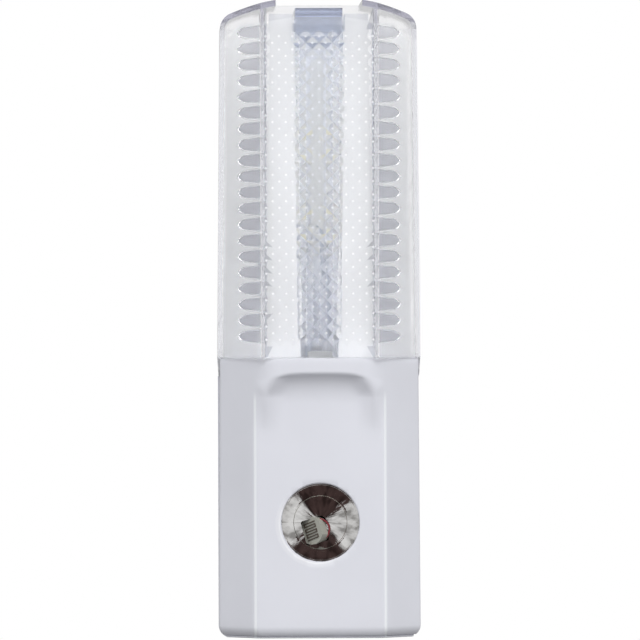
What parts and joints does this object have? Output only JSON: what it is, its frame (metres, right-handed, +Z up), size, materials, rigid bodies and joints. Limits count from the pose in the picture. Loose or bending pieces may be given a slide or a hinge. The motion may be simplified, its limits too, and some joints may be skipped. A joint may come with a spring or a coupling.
{
  "type": "plug-in night light",
  "caption": "Flat plug-in night light: a white base with a flat two-pin plug behind it and a light sensor in front, under a clear ribbed shade that slides off upwards.",
  "frame": {"origin": "centre of the plug's end face, midway between the two pins where they leave it", "axes": "+Y into the wall along the plug, +Z up towards the shade's top, +X to the right seen from the front; the front faces -Y"},
  "size_m": [0.0374, 0.066, 0.1169],
  "materials": {
    "white_plastic": "satin",
    "clear_plastic": "polished, ribbed and knurled",
    "reflector_white": "satin",
    "board_white": "solder mask",
    "package_white": "matt",
    "phosphor": "matt",
    "red_insulation": "satin",
    "white_insulation": "satin",
    "grey_insulation": "satin",
    "board_brown": "phenolic paper laminate",
    "film_yellow": "smooth",
    "can_blue": "heat-shrink sleeve",
    "black_epoxy": "moulded",
    "green_coating": "lacquered",
    "tan_coating": "lacquered",
    "bright_cup": "vacuum metallised",
    "cell_ceramic": "coated",
    "cell_track": "printed",
    "tinned_wire": "tinned",
    "nickel_plate": "nickel plated",
    "dark_insulation": "satin",
    "contact_brass": "plain",
    "brown_insulation": "satin",
    "blue_insulation": "satin",
    "zinc_steel": "zinc plated"
  },
  "bodies": {
    "housing": {"front_housing": "white_plastic", "rear_housing": "white_plastic", "backplate": "white_plastic", "reflector": "reflector_white", "led_board": "board_white", "led_packages": "package_white", "led_phosphors": "phosphor", "led_wire_pos": "white_insulation", "led_wire_neg": "grey_insulation", "main_board": "board_brown", "dropper_capacitor": "film_yellow", "smoothing_capacitor": "can_blue", "rectifier_diodes": "black_epoxy", "fusible_resistor": "green_coating", "bleed_resistors": "tan_coating", "switching_transistor": "black_epoxy", "sensor_cup": "bright_cup", "photocell_body": "cell_ceramic", "photocell_track": "cell_track", "photocell_leads": "tinned_wire", "lead_sleeve": "red_insulation", "plug_body": "white_plastic", "plug_pins": "nickel_plate", "pin_sleeves": "dark_insulation", "contact_tabs": "contact_brass", "live_wire": "brown_insulation", "neutral_wire": "blue_insulation", "housing_screws": "zinc_steel"},
    "shade": {"shade": "clear_plastic"},
    "latch": {"shade_latch": "clear_plastic"}
  },
  "joints": [
    {"name": "shade_slide", "type": "slide", "parent": "housing", "child": "shade", "axis": [0, 0, 1], "range_m": [0, 0.07]},
    {"name": "latch_flex", "type": "hinge", "parent": "shade", "child": "latch", "pos_m": [0, -0.0446, 0.0899], "axis": [1, 0, 0], "range_deg": [-4, 0], "stiffness_Nm_per_rad": 0.05}
  ]
}
